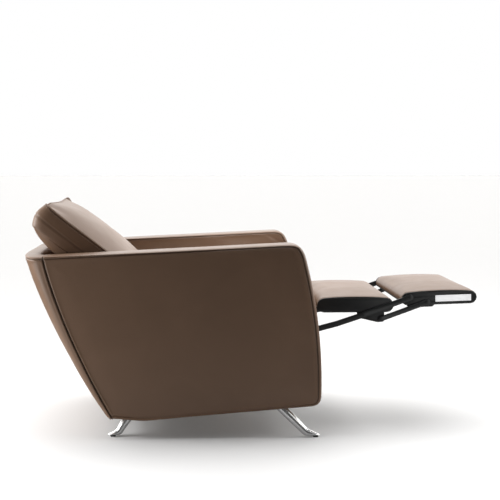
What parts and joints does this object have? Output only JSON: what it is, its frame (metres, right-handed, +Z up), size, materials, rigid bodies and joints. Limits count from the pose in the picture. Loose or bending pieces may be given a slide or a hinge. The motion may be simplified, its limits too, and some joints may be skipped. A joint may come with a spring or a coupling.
{
  "type": "recliner armchair",
  "caption": "Leather recliner armchair on polished metal legs, with a sliding seat, a tilting back rest and a folding two-pad footrest on scissor links.",
  "frame": {"origin": "on the floor, under the middle of the bounding box with the chair fully reclined", "axes": "+X towards the sitter's feet, +Y to the sitter's left, +Z up"},
  "size_m": [1.4584, 0.8, 0.7314],
  "materials": {
    "leather_body": "fine-grained semi-aniline leather, taupe brown, matt satin",
    "leather_shell": "the same leather on the back panel",
    "leather_seat": "the same leather on seat and back cushions",
    "leather_pads": "the same leather on the footrest pads",
    "beech": "planed beech and plywood, unfinished",
    "webbing": "woven elastic webbing",
    "polished_aluminium": "polished",
    "glide_plastic": "matt",
    "black_plastic": "finely textured black",
    "label_white": "matt off-white, blank",
    "black_steel": "black powder coat"
  },
  "bodies": {
    "chair_body": {"arm_cover_right": "leather_body", "arm_cover_left": "leather_body", "arm_frame_right": "beech", "arm_frame_left": "beech", "back_shell": "leather_shell", "back_rail_upper": "beech", "back_rail_lower": "beech", "base_rail_front": "beech", "slide_rail_right": "black_steel", "slide_rail_left": "black_steel", "recline_guide_right": "black_steel", "recline_guide_left": "black_steel", "leg_front_right": "polished_aluminium", "leg_front_left": "polished_aluminium", "leg_rear_right": "polished_aluminium", "leg_rear_left": "polished_aluminium", "glide_front_right": "glide_plastic", "glide_front_left": "glide_plastic", "glide_rear_right": "glide_plastic", "glide_rear_left": "glide_plastic"},
    "seat_carriage": {"seat_beam_right": "beech", "seat_beam_left": "beech", "seat_rail_front": "beech", "seat_rail_rear": "beech", "slide_runner_right": "black_plastic", "slide_runner_left": "black_plastic", "seat_strap_1": "webbing", "seat_strap_2": "webbing", "seat_strap_3": "webbing", "seat_cushion": "leather_seat", "seat_bolster": "leather_seat", "guide_plate_right": "black_steel", "guide_plate_left": "black_steel", "seat_hinge_plate_right": "black_steel", "seat_hinge_plate_left": "black_steel"},
    "back_rest": {"back_beam_right": "beech", "back_beam_left": "beech", "back_crossbar_lower": "beech", "back_crossbar_upper": "beech", "back_cover": "leather_seat", "back_cushion": "leather_seat", "back_hinge_plate_right": "black_steel", "back_hinge_plate_left": "black_steel", "recline_pin_right": "black_steel", "recline_pin_left": "black_steel"},
    "calf_rest": {"calf_tray": "black_plastic", "calf_cushion": "leather_pads", "calf_side_right": "black_plastic", "calf_side_left": "black_plastic"},
    "long_link": {"long_link_right": "black_steel", "long_link_left": "black_steel", "link_shaft": "black_steel"},
    "short_link": {"short_link_right": "black_steel", "short_link_left": "black_steel"},
    "foot_rest": {"foot_tray": "black_plastic", "foot_cushion": "leather_pads", "foot_side_right": "black_plastic", "foot_side_left": "black_plastic", "label_plate": "label_white"}
  },
  "joints": [
    {"name": "seat_slide", "type": "slide", "parent": "chair_body", "child": "seat_carriage", "axis": [1, 0, 0], "range_m": [-0.115, 0]},
    {"name": "back_recline", "type": "hinge", "parent": "seat_carriage", "child": "back_rest", "pos_m": [-0.339, 0, 0.407], "axis": [0, 1, 0], "range_deg": [0, 30]},
    {"name": "footrest_fold", "type": "hinge", "parent": "seat_carriage", "child": "calf_rest", "pos_m": [0.191, 0, 0.385], "axis": [0, 1, 0], "range_deg": [0, 90]},
    {"name": "long_link_pivot", "type": "hinge", "parent": "calf_rest", "child": "long_link", "pos_m": [0.3584, 0, 0.3703], "axis": [0, 1, 0], "range_deg": [-115.1, 0]},
    {"name": "short_link_pivot", "type": "hinge", "parent": "calf_rest", "child": "short_link", "pos_m": [0.4144, 0, 0.3558], "axis": [0, 1, 0], "range_deg": [-115.1, 0]},
    {"name": "foot_pad_pivot", "type": "hinge", "parent": "long_link", "child": "foot_rest", "pos_m": [0.5117, 0, 0.4257], "axis": [0, 1, 0], "range_deg": [0, 115.1]}
  ],
  "couplings": [
    {"joint": "back_recline", "follows": "seat_slide", "rad_per_m": -4.553},
    {"joint": "long_link_pivot", "follows": "footrest_fold", "ratio": -1.278},
    {"joint": "short_link_pivot", "follows": "footrest_fold", "ratio": -1.278},
    {"joint": "foot_pad_pivot", "follows": "footrest_fold", "ratio": 1.278}
  ]
}
